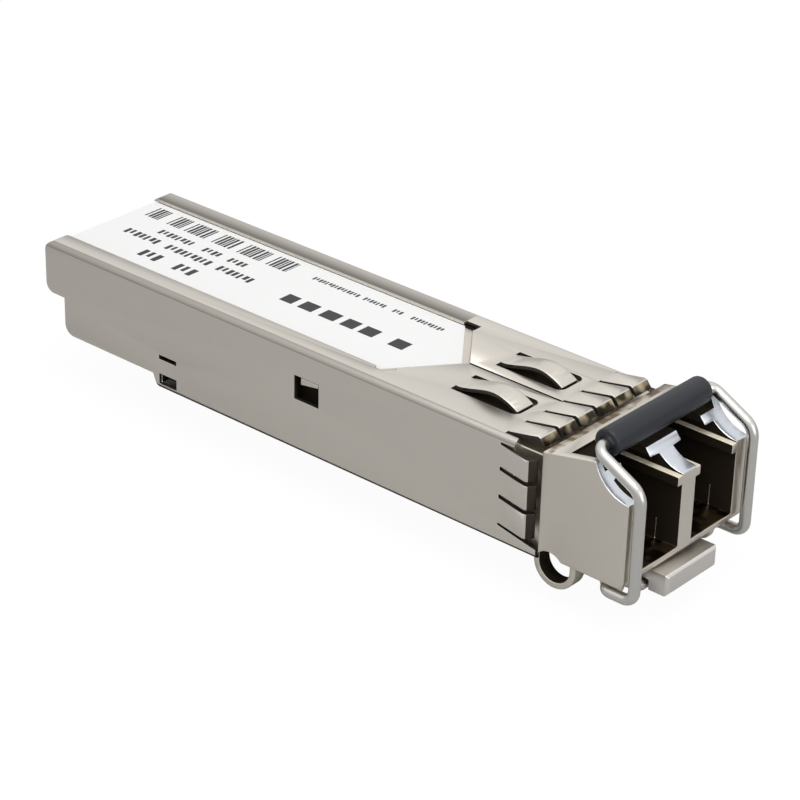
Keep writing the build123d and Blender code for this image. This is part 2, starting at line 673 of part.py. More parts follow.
# Bail: one bent wire. The crank end has mitred corners, the corners in sight have bend radii
crank_path = [
    (PIVOT_X + CRANK, PIN_IN_Y, PIVOT_Z - CRANK),
    (PIVOT_X + CRANK, JOG_IN_Y, PIVOT_Z - CRANK),
    (PIVOT_X, JOG_OUT_Y, PIVOT_Z),
    (PIVOT_X, LEG_Y, PIVOT_Z),
    (LEG_X - FOOT_BEND_R, LEG_Y, PIVOT_Z),
]
leg_path = [
    (PIVOT_X, LEG_Y, PIVOT_Z),
    (LEG_X, LEG_Y, PIVOT_Z),
    (LEG_X, LEG_Y, ARM_LOW_Z),
    (GRIP_X, LEG_Y, GRIP_Z),
    (GRIP_X, 0, GRIP_Z),
]
leg_corners = [Vector(*point) for point in leg_path]
leg_bends = (FOOT_BEND_R, ARM_BEND_R, FOOT_BEND_R)
with BuildPart() as bail:
    with BuildLine() as crank_line:
        Polyline(*crank_path)
    with BuildSketch(Plane(crank_path[0], z_dir=(0, 1, 0))) as pin_end:
        Circle(WIRE_R)
    sweep(pin_end.sketch, path=crank_line.line, transition=Transition.RIGHT)
    run_start = Vector(*crank_path[-1]) - Vector(JOIN, 0, 0)
    for before, corner, after, bend in zip(leg_corners, leg_corners[1:], leg_corners[2:], leg_bends):
        heading = (corner - before).normalized()
        onward = (after - corner).normalized()
        angle = heading.get_angle(onward)
        setback = bend * tan(radians(angle / 2))
        bend_start = corner - heading * setback
        straight_run(run_start, bend_start, WIRE_R)
        inward = (onward - heading * heading.dot(onward)).normalized()
        with BuildSketch(Plane(bend_start, z_dir=heading)) as end:
            Circle(WIRE_R)
        revolve(
            end.sketch, axis=Axis(bend_start + inward * bend, heading.cross(onward)), revolution_arc=angle
        )
        run_start = corner + onward * setback
    straight_run(run_start, leg_corners[-1], WIRE_R)
    mirror(about=Plane.XZ)
bail.part.label = "bail_wire"
export_step(bail.part, "parts/bail_wire.step")

# Soft sleeve on the bail's cross bar
with BuildPart() as grip:
    cross_rod(GRIP_X, -GRIP_HALF, GRIP_HALF, GRIP_Z, GRIP_R)
    chamfer(grip.edges().filter_by(GeomType.CIRCLE), GRIP_CHAMFER)
    cross_rod(GRIP_X, -GRIP_HALF - PAST, GRIP_HALF + PAST, GRIP_Z, WIRE_R + GRIP_FIT, mode=Mode.SUBTRACT)
grip.part.label = "bail_grip"
export_step(grip.part, "parts/bail_grip.step")

# Release slider: front block driven by the crank pins, plate under the nose, two tines
pin_x = PIVOT_X + CRANK
slot_half = WIRE_R + PIN_GAP
slider_low = SLIDER_TOP_Z - SLIDER_T
ramp_l = SLIDER_TOP_Z - TINE_LOW_Z - TINE_EDGE
tine_outline = [
    (TINE_REAR_X, SLIDER_TOP_Z),
    (TINE_REAR_X, SLIDER_TOP_Z - TINE_EDGE),
    (TINE_REAR_X + ramp_l, TINE_LOW_Z),
    (SLIDER_REAR_X + JOIN, TINE_LOW_Z),
    (SLIDER_REAR_X + JOIN, SLIDER_TOP_Z),
]
with BuildPart() as slider:
    slab(SLIDER_REAR_X, BLOCK_REAR_X + JOIN, -SLIDER_HALF, SLIDER_HALF, slider_low, SLIDER_TOP_Z)
    slab(BLOCK_REAR_X, BLOCK_FRONT_X, -BLOCK_HALF, BLOCK_HALF, BLOCK_LOW_Z, SLIDER_TOP_Z)
    chamfer(slider.faces().sort_by(Axis.X)[-1].edges(), BLOCK_CHAMFER)
    for side in (-1, 1):
        tine_in, tine_out = sorted((side * TINE_IN_Y, side * SLIDER_HALF))
        side_profile(tine_outline, tine_in, tine_out)
        cheek_in, cheek_out = sorted((side * (PIN_IN_Y - PIN_GAP), side * (BLOCK_HALF + PAST)))
        slab(
            pin_x - slot_half, pin_x + slot_half, cheek_in, cheek_out,
            BLOCK_LOW_Z - PAST, PIVOT_Z - CRANK + slot_half, mode=Mode.SUBTRACT,
        )
slider.part.label = "release_slider"
export_step(slider.part, "parts/release_slider.step")
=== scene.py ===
"""Looks of a pluggable optical transceiver: folded nickel case, cast nose, paper label and bail latch."""

import math

import bmesh
import bpy
from bpy.props import FloatProperty, FloatVectorProperty, PointerProperty
from mathutils import Matrix, Quaternion, Vector


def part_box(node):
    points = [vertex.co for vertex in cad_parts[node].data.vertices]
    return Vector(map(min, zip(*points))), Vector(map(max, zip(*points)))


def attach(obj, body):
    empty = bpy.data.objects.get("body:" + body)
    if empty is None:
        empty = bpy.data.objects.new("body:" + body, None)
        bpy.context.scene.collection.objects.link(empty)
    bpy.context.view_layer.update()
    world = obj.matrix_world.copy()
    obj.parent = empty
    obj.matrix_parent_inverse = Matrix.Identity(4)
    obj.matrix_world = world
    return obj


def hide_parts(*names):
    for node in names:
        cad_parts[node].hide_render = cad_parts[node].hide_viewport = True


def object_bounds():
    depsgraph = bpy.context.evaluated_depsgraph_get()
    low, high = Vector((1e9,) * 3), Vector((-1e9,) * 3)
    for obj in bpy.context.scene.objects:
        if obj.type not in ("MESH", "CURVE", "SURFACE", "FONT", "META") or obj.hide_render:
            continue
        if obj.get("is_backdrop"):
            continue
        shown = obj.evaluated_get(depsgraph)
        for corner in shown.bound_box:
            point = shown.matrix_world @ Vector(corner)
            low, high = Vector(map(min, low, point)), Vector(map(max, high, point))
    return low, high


bl_info = {
    "name": "Optical Transceiver",
    "version": (1, 0, 0),
    "blender": (4, 5, 0),
    "location": "3D View > Sidebar > Transceiver",
    "description": "Builds the visible pieces of a pluggable optical transceiver on its packed frame",
    "category": "Add Mesh",
}

MM = 0.001

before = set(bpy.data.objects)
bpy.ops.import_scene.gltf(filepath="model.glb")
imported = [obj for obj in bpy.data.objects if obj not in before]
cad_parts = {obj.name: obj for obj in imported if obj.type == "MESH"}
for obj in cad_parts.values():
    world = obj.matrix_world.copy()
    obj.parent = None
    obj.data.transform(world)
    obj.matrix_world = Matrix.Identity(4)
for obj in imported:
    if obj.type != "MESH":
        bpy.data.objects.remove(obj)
CASE_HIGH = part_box("shell")[1]
LABEL_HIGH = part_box("label")[1]
GRIP_LOW, GRIP_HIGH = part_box("bail_grip")
WIRE_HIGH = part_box("bail_wire")[1]

# Meshes
JOIN_DISTANCE = 0.0005 * MM
SEAM_DISTANCE = 0.0002 * MM
JOIN_ANGLE = math.radians(1.0)
FLAT_ANGLE = math.radians(0.05)
FLAT_AREA = (1.0 * MM) ** 2
SHORTEST_EDGE = 0.03 * MM
CUT_DISTANCE = 1e-7

# Limits for one component of a face's unit normal
STRAIGHT = 0.9
EDGE_ON = 0.5
LEANING = 0.3
DOWNWARD = -0.25
SLANTED = 0.08

# Hinge line of the bail, gap between the lowest point and the floor, inner edge of the case's rim
PIVOT = Vector((9.4 * MM, 0.0, -0.05 * MM))
FLOOR_GAP = 0.02 * MM
RIM_INNER_Y = 4.8 * MM

# End of a range that is open on one side, in millimetres
FAR = 99.0
ANY = (-FAR, FAR)


class TransceiverMetal(bpy.types.PropertyGroup):
    """Colours and finish of the plated metal."""

    shell_colour: FloatVectorProperty(
        name="Shell colour",
        description="Satin nickel plate of the folded case",
        subtype="COLOR",
        min=0.0,
        max=1.0,
        default=(0.675, 0.635, 0.575),
    )
    nose_colour: FloatVectorProperty(
        name="Nose colour",
        description="Satin nickel plate of the cast nose",
        subtype="COLOR",
        min=0.0,
        max=1.0,
        default=(0.69, 0.645, 0.575),
    )
    slider_colour: FloatVectorProperty(
        name="Slider colour",
        description="Paler nickel of the release slider",
        subtype="COLOR",
        min=0.0,
        max=1.0,
        default=(0.74, 0.71, 0.68),
    )
    wire_colour: FloatVectorProperty(
        name="Wire colour",
        description="Bright steel of the bail",
        subtype="COLOR",
        min=0.0,
        max=1.0,
        default=(0.62, 0.61, 0.58),
    )
    roughness: FloatProperty(
        name="Roughness",
        description="Roughness of the satin plate",
        subtype="FACTOR",
        min=0.05,
        max=1.0,
        default=0.36,
    )
    edge_round: FloatProperty(
        name="Sheet edge",
        description="Width of the rounding on the folded sheet's edges",
        unit="LENGTH",
        min=0.0,
        default=0.05 * MM,
    )
    cast_round: FloatProperty(
        name="Cast edge",
        description="Width of the rounding on the casting's edges",
        unit="LENGTH",
        min=0.0,
        default=0.09 * MM,
    )


class TransceiverBail(bpy.types.PropertyGroup):
    """Sizes of the bail's wire and sleeve."""

    wire_radius: FloatProperty(
        name="Wire radius",
        description="Radius of the bail's wire",
        unit="LENGTH",
        default=0.42 * MM,
    )
    foot_bend: FloatProperty(
        name="Foot bend",
        description="Radius of the bends at the feet and the cross bar, on the centre line",
        unit="LENGTH",
        default=0.85 * MM,
    )
    arm_bend: FloatProperty(
        name="Arm bend",
        description="Radius of the bends between legs and arms, on the centre line",
        unit="LENGTH",
        default=1.3 * MM,
    )
    sleeve_colour: FloatVectorProperty(
        name="Sleeve colour",
        description="Dark moulded sleeve on the cross bar",
        subtype="COLOR",
        min=0.0,
        max=1.0,
        default=(0.006, 0.008, 0.014),
    )
    sleeve_lip: FloatProperty(
        name="Sleeve lip",
        description="Rounding at both ends of the sleeve",
        unit="LENGTH",
        default=0.25 * MM,
    )


class TransceiverLabel(bpy.types.PropertyGroup):
    """Paper and print of the label."""

    paper_colour: FloatVectorProperty(
        name="Paper colour",
        description="White label film",
        subtype="COLOR",
        min=0.0,
        max=1.0,
        default=(0.94, 0.94, 0.935),
    )
    ink_colour: FloatVectorProperty(
        name="Ink colour",
        description="Dark grey print",
        subtype="COLOR",
        min=0.0,
        max=1.0,
        default=(0.03, 0.03, 0.03),
    )
    ink_height: FloatProperty(
        name="Ink height",
        description="Height of the print over the paper",
        unit="LENGTH",
        default=0.006 * MM,
    )


class TransceiverStudio(bpy.types.PropertyGroup):
    """Camera, lamps, floor and surroundings."""

    azimuth: FloatProperty(
        name="Azimuth",
        description="Direction of the camera round the transceiver",
        subtype="ANGLE",
        default=math.radians(40.53),
    )
    elevation: FloatProperty(
        name="Elevation",
        description="Height angle of the camera",
        subtype="ANGLE",
        default=math.radians(27.84),
    )
    roll: FloatProperty(
        name="Roll",
        description="Turn of the camera about its view axis",
        subtype="ANGLE",
        default=math.radians(1.47),
    )
    distance: FloatProperty(
        name="Distance",
        description="Distance from the aim point to the camera",
        unit="LENGTH",
        default=204.98 * MM,
    )
    aim: FloatVectorProperty(
        name="Aim point",
        description="Point in the middle of the picture",
        subtype="TRANSLATION",
        unit="LENGTH",
        default=(-14.32 * MM, 0.01 * MM, 3.18 * MM),
    )
    lens: FloatProperty(
        name="Focal length",
        description="Focal length in millimetres on a 36 mm sensor",
        default=126.0,
    )
    lamp_power: FloatProperty(
        name="Lamp power",
        description="Power in watts, of which each lamp takes its share",
        default=0.43,
    )
    horizon: FloatProperty(
        name="Horizon",
        description="Brightness of the surroundings near the horizon in reflections",
        default=0.5,
    )
    backdrop: FloatProperty(
        name="Backdrop",
        description="Brightness of the white surroundings in reflections",
        default=1.0,
    )
    floor_grey: FloatProperty(
        name="Floor",
        description="Grey value of the floor's lit surface",
        subtype="FACTOR",
        min=0.0,
        max=1.0,
        default=0.56,
    )


# Materials

GRAIN_STRENGTH = 0.35
PLATE_GRAIN_SCALE, PLATE_GRAIN_DEPTH = 9000.0, 0.004 * MM
SLEEVE_GRAIN_SCALE, SLEEVE_GRAIN_DEPTH = 6000.0, 0.006 * MM
CLOUD_SCALE = 400.0
CLOUD_SPREAD = 0.05
BROWN_SCALE = 900.0
NOISE_LOW, NOISE_HIGH = 0.3, 0.7
FINISH_STEP = 0.08


def set_sockets(node, values):
    """Fixed values for some of a node's sockets, by name."""
    for name, value in values.items():
        node.inputs[name].default_value = value


def bare_material(name, colour, roughness, metallic=0.0):
    """Material with one plain surface shader, returned with its node tree and shader."""
    material = bpy.data.materials.new(name)
    material.use_nodes = True
    tree = material.node_tree
    surface = tree.nodes["Principled BSDF"]
    set_sockets(surface, {"Base Color": (*colour, 1.0), "Roughness": roughness, "Metallic": metallic})
    material.diffuse_color = (*colour, 1.0)
    return material, tree, surface


def object_noise(tree, scale, detail=3.0):
    """Noise texture that reads the piece's own coordinates."""
    place = tree.nodes.new("ShaderNodeTexCoord")
    noise = tree.nodes.new("ShaderNodeTexNoise")
    set_sockets(noise, {"Scale": scale, "Detail": detail})
    tree.links.new(place.outputs["Object"], noise.inputs["Vector"])
    return noise


def add_grain(tree, surface, scale, depth):
    """Fine relief from noise on a surface shader."""
    noise = object_noise(tree, scale)
    relief = tree.nodes.new("ShaderNodeBump")
    set_sockets(relief, {"Strength": GRAIN_STRENGTH, "Distance": depth})
    tree.links.new(noise.outputs["Fac"], relief.inputs["Height"])
    tree.links.new(relief.outputs["Normal"], surface.inputs["Normal"])


def add_cloudy_roughness(tree, surface, low, high, scale):
    """Roughness that drifts between two values over the surface."""
    noise = object_noise(tree, scale, 2.0)
    spread = tree.nodes.new("ShaderNodeMapRange")
    set_sockets(spread, {"From Min": NOISE_LOW, "From Max": NOISE_HIGH, "To Min": low, "To Max": high})
    tree.links.new(noise.outputs["Fac"], spread.inputs["Value"])
    tree.links.new(spread.outputs["Result"], surface.inputs["Roughness"])


def nickel_material(name, colour, roughness):
    """Satin nickel plate with a faint grain."""
    material, tree, surface = bare_material(name, colour, roughness, 1.0)
    add_cloudy_roughness(tree, surface, roughness - CLOUD_SPREAD, roughness + CLOUD_SPREAD, CLOUD_SCALE)
    add_grain(tree, surface, PLATE_GRAIN_SCALE, PLATE_GRAIN_DEPTH)
    return material


def dark_cavity_material():
    """Painted shade: dark brown inside the ports and behind the openings."""
    material, tree, surface = bare_material("Cavity brown", (0.018, 0.0125, 0.0075), 0.8, 0.0)
    surface.inputs["Specular IOR Level"].default_value = 0.1
    return material


def colour_ramp(tree, first, last):
    """Colour ramp between two pairs of position and colour."""
    ramp = tree.nodes.new("ShaderNodeValToRGB")
    for element, (position, colour) in zip(ramp.color_ramp.elements, (first, last)):
        element.position = position
        element.color = (*colour, 1.0)
    return ramp


def tan_material(name, colour, brown):
    """Metal with painted brown shade and reflections in patches."""
    material, tree, surface = bare_material(name, colour, 0.35, 1.0)
    noise = object_noise(tree, BROWN_SCALE, 1.0)
    ramp = colour_ramp(tree, (0.42, brown), (0.62, colour))
    tree.links.new(noise.outputs["Fac"], ramp.inputs["Fac"])
    tree.links.new(ramp.outputs["Color"], surface.inputs["Base Color"])
    return material


def rim_material(colour, roughness):
    """Nickel with painted shade that darkens towards the label on the far rim."""
    material, tree, surface = bare_material("Rim nickel", colour, roughness, 1.0)
    place = tree.nodes.new("ShaderNodeTexCoord")
    axes = tree.nodes.new("ShaderNodeSeparateXYZ")
    spread = tree.nodes.new("ShaderNodeMapRange")
    set_sockets(spread, {"From Min": RIM_INNER_Y, "From Max": CASE_HIGH.y})
    ramp = colour_ramp(tree, (0.1, (0.2, 0.19, 0.17)), (0.75, colour))
    tree.links.new(place.outputs["Object"], axes.inputs["Vector"])
    tree.links.new(axes.outputs["Y"], spread.inputs["Value"])
    tree.links.new(spread.outputs["Result"], ramp.inputs["Fac"])
    tree.links.new(ramp.outputs["Color"], surface.inputs["Base Color"])
    return material


# Modelling helpers


def new_piece(name, form, body, materials):
    """Object from a bmesh, at the origin, riding on a body of the frame."""
    mesh = bpy.data.meshes.new(name)
    form.to_mesh(mesh)
    form.free()
    piece = bpy.data.objects.new(name, mesh)
    bpy.context.scene.collection.objects.link(piece)
    for material in materials:
        mesh.materials.append(material)
    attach(piece, body)
    return piece


def copy_of_node(node):
    """Bmesh of a CAD node with its loose triangles joined and flat faces made whole."""
    form = bmesh.new()
    form.from_mesh(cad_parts[node].data)
    bmesh.ops.remove_doubles(form, verts=form.verts, dist=JOIN_DISTANCE)
    bmesh.ops.dissolve_limit(
        form,
        angle_limit=JOIN_ANGLE,
        verts=form.verts,
        edges=form.edges,
        delimit={"NORMAL"},
    )
    flat = [edge for edge in form.edges if edge.is_manifold and edge.calc_face_angle() < FLAT_ANGLE]
    flat = [edge for edge in flat if min(face.calc_area() for face in edge.link_faces) > FLAT_AREA]
    bmesh.ops.dissolve_edges(form, edges=flat, use_verts=False)
    return form


def round_edges(piece, width, segments=2, angle=32.0):
    """Bevel modifier on the sharp edges, shaded smooth."""
    for face in piece.data.polygons:
        face.use_smooth = True
    bevel = piece.modifiers.new("Rounded edges", "BEVEL")
    bevel.width = width
    bevel.segments = segments
    bevel.limit_method = "ANGLE"
    bevel.angle_limit = math.radians(angle)
    bevel.use_clamp_overlap = False
    bevel.harden_normals = True


def lies_in(place, region):
    """Whether a point lies in a region, given in millimetres by its ranges of x, distance out and z."""
    measures = (place.x, abs(place.y), place.z)
    return all(low < measure < high for measure, (low, high) in zip(measures, region))


def cut_faces(form, faces, place, across):
    """Line across some faces, where a plane through a place meets them."""
    parts = {item for face in faces for item in (face, *face.edges, *face.verts)}
    bmesh.ops.bisect_plane(form, geom=list(parts), dist=CUT_DISTANCE, plane_co=place, plane_no=across)


def top_faces(form, height):
    """Faces that look up from above a height in millimetres."""
    return [
        face
        for face in form.faces
        if face.normal.z > STRAIGHT and face.calc_center_median().z > height * MM
    ]


def add_block(form, low, high):
    """Box between two corners, added to a bmesh."""
    low, high = Vector(low), Vector(high)
    made = bmesh.ops.create_cube(form, size=1.0)
    size = high - low
    bmesh.ops.scale(form, vec=size, verts=made["verts"])
    bmesh.ops.translate(form, vec=(low + high) / 2, verts=made["verts"])


def bent_rod(form, path, radius, around=24, bend_steps=10):
    """Round wire along a path of corners, each with its own bend radius, capped at both ends."""
    points = [point for point, bend in path]
    start, heading = points[0], (points[1] - points[0]).normalized()
    turn = heading.to_track_quat("Z", "Y").to_matrix().to_4x4()
    ring = bmesh.ops.create_circle(
        form, cap_ends=False, radius=radius, segments=around, matrix=Matrix.Translation(start) @ turn
    )
    edges = list({edge for vert in ring["verts"] for edge in vert.link_edges})
    first_ring = edges
    here = start
    for (corner, bend), after in zip(path[1:-1], points[2:]):
        onward = (after - corner).normalized()
        angle = heading.angle(onward)
        setback = bend * math.tan(angle / 2)
        bend_start = corner - heading * setback
        run = bmesh.ops.extrude_edge_only(form, edges=edges)
        verts = [item for item in run["geom"] if isinstance(item, bmesh.types.BMVert)]
        edges = [item for item in run["geom"] if isinstance(item, bmesh.types.BMEdge) and item.is_boundary]
        edges = [edge for edge in edges if all(vert in verts for vert in edge.verts)]
        bmesh.ops.translate(form, vec=bend_start - here, verts=verts)
        inward = (onward - heading * heading.dot(onward)).normalized()
        axis = heading.cross(onward).normalized()
        swept = bmesh.ops.spin(
            form,
            geom=edges,
            cent=bend_start + inward * bend,
            axis=axis,
            angle=angle,
            steps=bend_steps,
        )
        edges = [item for item in swept["geom_last"] if isinstance(item, bmesh.types.BMEdge)]
        here = corner + onward * setback
        heading = onward
    run = bmesh.ops.extrude_edge_only(form, edges=edges)
    verts = [item for item in run["geom"] if isinstance(item, bmesh.types.BMVert)]
    bmesh.ops.translate(form, vec=points[-1] - here, verts=verts)
    last_ring = [
        item
        for item in run["geom"]
        if isinstance(item, bmesh.types.BMEdge) and all(vert in verts for vert in item.verts)
    ]
    bmesh.ops.edgeloop_fill(form, edges=first_ring)
    bmesh.ops.edgeloop_fill(form, edges=last_ring)
    bmesh.ops.recalc_face_normals(form, faces=form.faces)


def turned_bar(form, profile, centre, axis, steps=48):
    """Body of revolution: (distance along the axis, radius) pairs spun about an axis through a centre."""
    axis = Vector(axis)
    side = axis.orthogonal().normalized()
    verts = [form.verts.new(centre + axis * along + side * out) for along, out in profile]
    edges = [form.edges.new(pair) for pair in zip(verts, verts[1:])]
    bmesh.ops.spin(
        form, geom=verts + edges, cent=centre, axis=axis, angle=math.tau, steps=steps, use_merge=True
    )
    bmesh.ops.remove_doubles(form, verts=form.verts, dist=SEAM_DISTANCE)
    bmesh.ops.recalc_face_normals(form, faces=form.faces)


# Operators


class BuildFoldedCase(bpy.types.Operator):
    """Folded case with rounded sheet edges"""

    bl_idname = "transceiver.folded_case"
    bl_label = "Folded Case"

    NICKEL, TIP, RIM, SHADE, BEND, TOP_TIP = range(6)
    SIDE_FINGERS = ((3.25, FAR), (6.4, FAR), ANY)
    TOP_FINGERS = ((3.25, FAR), (-FAR, 6.4), (8.0, FAR))
    SIDE_OPENINGS = ((-33.2, 5.2), (6.35, FAR), (0.5, 8.0))
    TOP_OPENINGS = ((-12.3, 5.2), (-FAR, 6.2), (8.15, 8.8))
    LOWER_BENDS = ((-33.0, FAR), (6.0, FAR), (-FAR, 0.6))
    INNER_FLOOR = (ANY, (-FAR, 6.45), (-FAR, 0.5))
    UPPER_BENDS = ((-FAR, 1.0), ANY, (7.0, FAR))
    FAR_RIM = ((-FAR, -12.2), (4.7, FAR), (8.4, FAR))
    RIM_FRONT_X = -12.4
    TOP_HEIGHT = 8.4

    # Lowest slot between the side fingers, whose lower lip drops towards the tips
    SLOT_SIDE_Y = 6.3 * MM
    SLOT_START_X, SLOT_END_X = 0.4 * MM, 4.0 * MM
    SLOT_Z = 1.47 * MM
    SLOT_FLARE = 0.2

    @classmethod
    def zone(cls, face):
        """Which material a face of the case takes, from its place and direction."""
        place = face.calc_center_median() / MM
        normal = face.normal
        # Painted shade and reflections on the top finger tips
        if normal.x > LEANING and lies_in(place, cls.TOP_FINGERS):
            return cls.TOP_TIP
        # Painted shade on the side finger tips, under the lower bends and on the inner floor
        if normal.x > LEANING and lies_in(place, cls.SIDE_FINGERS):
            return cls.TIP
        if normal.z < DOWNWARD and lies_in(place, cls.LOWER_BENDS):
            return cls.TIP
        if normal.z > STRAIGHT and lies_in(place, cls.INNER_FLOOR):
            return cls.TIP
        if abs(normal.y) < EDGE_ON and lies_in(place, cls.SIDE_OPENINGS):
            return cls.SHADE
        if abs(normal.z) < EDGE_ON and lies_in(place, cls.TOP_OPENINGS):
            return cls.SHADE
        # Painted shade on the upper bends
        if normal.z > SLANTED and normal.y < -SLANTED and lies_in(place, cls.UPPER_BENDS):
            return cls.BEND
        # Painted shade on the far rim
        if normal.z > STRAIGHT and place.y > 0 and lies_in(place, cls.FAR_RIM):
            return cls.RIM
        return cls.NICKEL

    def execute(self, context):
        metal = context.scene.transceiver_metal
        finishes = [
            nickel_material("Sheet nickel", metal.shell_colour, metal.roughness),
            # Painted shade: dark metal on the side finger tips, under the lower bends and on the inner
            # floor
            bare_material("Finger tip", (0.06, 0.05, 0.038), 0.4, 1.0)[0],
            # Painted shade: nickel darkening towards the label on the far rim
            rim_material(metal.shell_colour, metal.roughness),
            bare_material("Slot shade", (0.015, 0.013, 0.01), 0.6, 0.0)[0],
            # Painted shade: a darker copy of the sheet nickel on the upper bends
            nickel_material("Bend nickel", Vector(metal.shell_colour) * 0.6, metal.roughness + FINISH_STEP),
            # Painted shade and reflections: brown and tan patches on the top finger tips
            tan_material("Finger gold", (0.5, 0.42, 0.28), (0.05, 0.04, 0.025)),
        ]
        form = copy_of_node("shell")
        for vert in form.verts:
            on_side = abs(vert.co.y) > self.SLOT_SIDE_Y
            on_lip = on_side and abs(vert.co.z - self.SLOT_Z) < SHORTEST_EDGE
            if on_lip and self.SLOT_START_X < vert.co.x < self.SLOT_END_X:
                vert.co.z -= (vert.co.x - self.SLOT_START_X) * self.SLOT_FLARE
        cut_faces(form, top_faces(form, self.TOP_HEIGHT), (self.RIM_FRONT_X * MM, 0, 0), (1, 0, 0))
        for face in form.faces:
            face.material_index = self.zone(face)
        piece = new_piece("folded_case", form, "case", finishes)
        round_edges(piece, metal.edge_round)
        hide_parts("shell")
        return {"FINISHED"}


class BuildCastNose(bpy.types.Operator):
    """Casting with the nose, both ports and the rails"""

    bl_idname = "transceiver.cast_nose"
    bl_label = "Cast Nose"

    NICKEL, CAVITY, LEDGE, POLISH, TAN, PORT_FLOOR = range(6)

    # Behind the nose, where only openings of the case show the casting
    BACK_FRONT_X = 1.3
    POCKETS = (ANY, (4.0, 6.31), (-FAR, 7.0))
    UNDER_SPRINGS = ((-6.45, -0.45), (1.55, 3.4), (8.1, FAR))
    UNDER_NOTCH = ((-13.0, -11.0), (4.7, FAR), (8.1, FAR))

    # Ports, neck, channel under the sleeve, strip beyond the finger tips, rings under the nose
    LEDGES = (ANY, (-FAR, 5.5), (7.15, 7.25))
    PORT_FLOORS = ((4.0, 11.4), (0.7, 5.5), (1.5, 1.7))
    PORT_WALLS = ((2.0, 11.4), (0.7, 5.5), (1.55, 7.95))
    PORT_ENDS = ((2.0, 7.5), (-FAR, 5.5), (1.5, 8.6))
    NECK_SIDES = ((1.0, 4.19), (6.0, FAR), ANY)
    CHANNEL = ((6.0, 9.0), (-FAR, 6.2), (8.2, FAR))
    CHANNEL_FLOOR_Z = (8.7, 8.8)
    STRIP = ((4.2, 5.0), ANY, (8.6, FAR))
    LUGS = (ANY, (4.9, 6.3), (-FAR, 0.74))
    LUG_X, LUG_Z, LUG_INNER_R = 5.2, -0.1, 1.5

    # Curved cut at the front of the ports' walls, dark with painted shade over a short stretch on one side
    SCALLOP_X, SCALLOP_Z, SCALLOP_R = 11.6, 10.4, 3.1
    SCALLOP_LOW_Z = 7.2
    SCALLOP_BAND = 0.35
    GAP_OUT_Y = 5.9
    GAP = (ANY, (5.4, GAP_OUT_Y), (7.35, 8.2))

    # Lines where one finish or painted shade of the top meets the next
    CUTS_X = (-13.0, -11.0, -6.4, -0.5, 4.95)
    CUTS_Y = (-3.35, -1.6, 1.6, 3.35, 4.7)
    TOP_HEIGHT = 8.0

    # Catches in the side windows, and dark blocks behind the low slots that take painted shade
    CATCH_X = (-18.0, -16.0)
    CATCH_OUT_Y = 5.5
    CATCH_TOP_Z, CATCH_RAISED_Z = 5.58, 5.85
    CATCH_BAND = 0.02
    WALL_X, WALL_OUT, WALL_Z = (-32.79, -32.6), (5.5, 6.28), (0.42, 1.6)

    @classmethod
    def on_scallop(cls, face):
        """Whether a face lies on the curved cut at the front of the ports' walls."""
        place = face.calc_center_median() / MM
        ring = Vector((place.x - cls.SCALLOP_X, place.z - cls.SCALLOP_Z)).length
        in_cut = place.z > cls.SCALLOP_LOW_Z and place.x < cls.SCALLOP_X
        return in_cut and abs(ring - cls.SCALLOP_R) < cls.SCALLOP_BAND and abs(face.normal.y) < LEANING

    @classmethod
    def back_zone(cls, place):
        """Material behind the nose: painted shade under the openings of the case."""
        dark = lies_in(place, cls.POCKETS) or lies_in(place, cls.UNDER_SPRINGS)
        under_notch = place.y > 0 and lies_in(place, cls.UNDER_NOTCH)
        return cls.CAVITY if dark or under_notch else cls.NICKEL

    @classmethod
    def in_shade(cls, place, normal):
        """Whether a face of the nose lies in a port, in the channel or beside the neck, where it takes
        painted shade.
        """
        across, along = abs(normal.y), abs(normal.x)
        if along < STRAIGHT and lies_in(place, cls.PORT_WALLS):
            return True
        if along >= STRAIGHT and lies_in(place, cls.PORT_ENDS):
            return True
        if across > STRAIGHT and lies_in(place, cls.NECK_SIDES):
            return True
        on_floor = cls.CHANNEL_FLOOR_Z[0] < place.z < cls.CHANNEL_FLOOR_Z[1]
        faces_in = across > STRAIGHT or normal.x > STRAIGHT or on_floor
        return faces_in and lies_in(place, cls.CHANNEL)

    @classmethod
    def zone(cls, face):
        """Which material a face of the casting takes, from its place and direction."""
        place = face.calc_center_median() / MM
        normal = face.normal
        if place.x < cls.BACK_FRONT_X:
            return cls.back_zone(place)
        # Painted highlight on the ledge tops
        if normal.z > STRAIGHT and lies_in(place, cls.LEDGES):
            return cls.LEDGE
        # Painted reflections on the port floors
        if normal.z > STRAIGHT and lies_in(place, cls.PORT_FLOORS):
            return cls.PORT_FLOOR
        if cls.in_shade(place, normal):
            return cls.CAVITY
        # The curved cut takes smoother nickel with a painted bluish reflection
        if cls.on_scallop(face):
            return cls.CAVITY if place.y < 0 and lies_in(place, cls.GAP) else cls.POLISH
        # Painted brown shade and reflections on the strip beyond the finger tips
        if normal.z > STRAIGHT and lies_in(place, cls.STRIP):
            return cls.TAN
        # Painted shade inside the lug rings
        from_lug = Vector((place.x - cls.LUG_X, place.z - cls.LUG_Z)).length
        if from_lug < cls.LUG_INNER_R and abs(normal.y) < EDGE_ON and lies_in(place, cls.LUGS):
            return cls.CAVITY
        return cls.NICKEL

    def cut_zones(self, form):
        """Lines on the faces where one finish or painted light meets the next."""
        for side in (-1, 1):
            curve = [face for face in form.faces if self.on_scallop(face)]
            cut_faces(form, curve, (0, side * self.GAP_OUT_Y * MM, 0), (0, 1, 0))
        for x in self.CUTS_X:
            cut_faces(form, top_faces(form, self.TOP_HEIGHT), (x * MM, 0, 0), (1, 0, 0))
        for y in self.CUTS_Y:
            cut_faces(form, top_faces(form, self.TOP_HEIGHT), (0, y * MM, 0), (0, 1, 0))

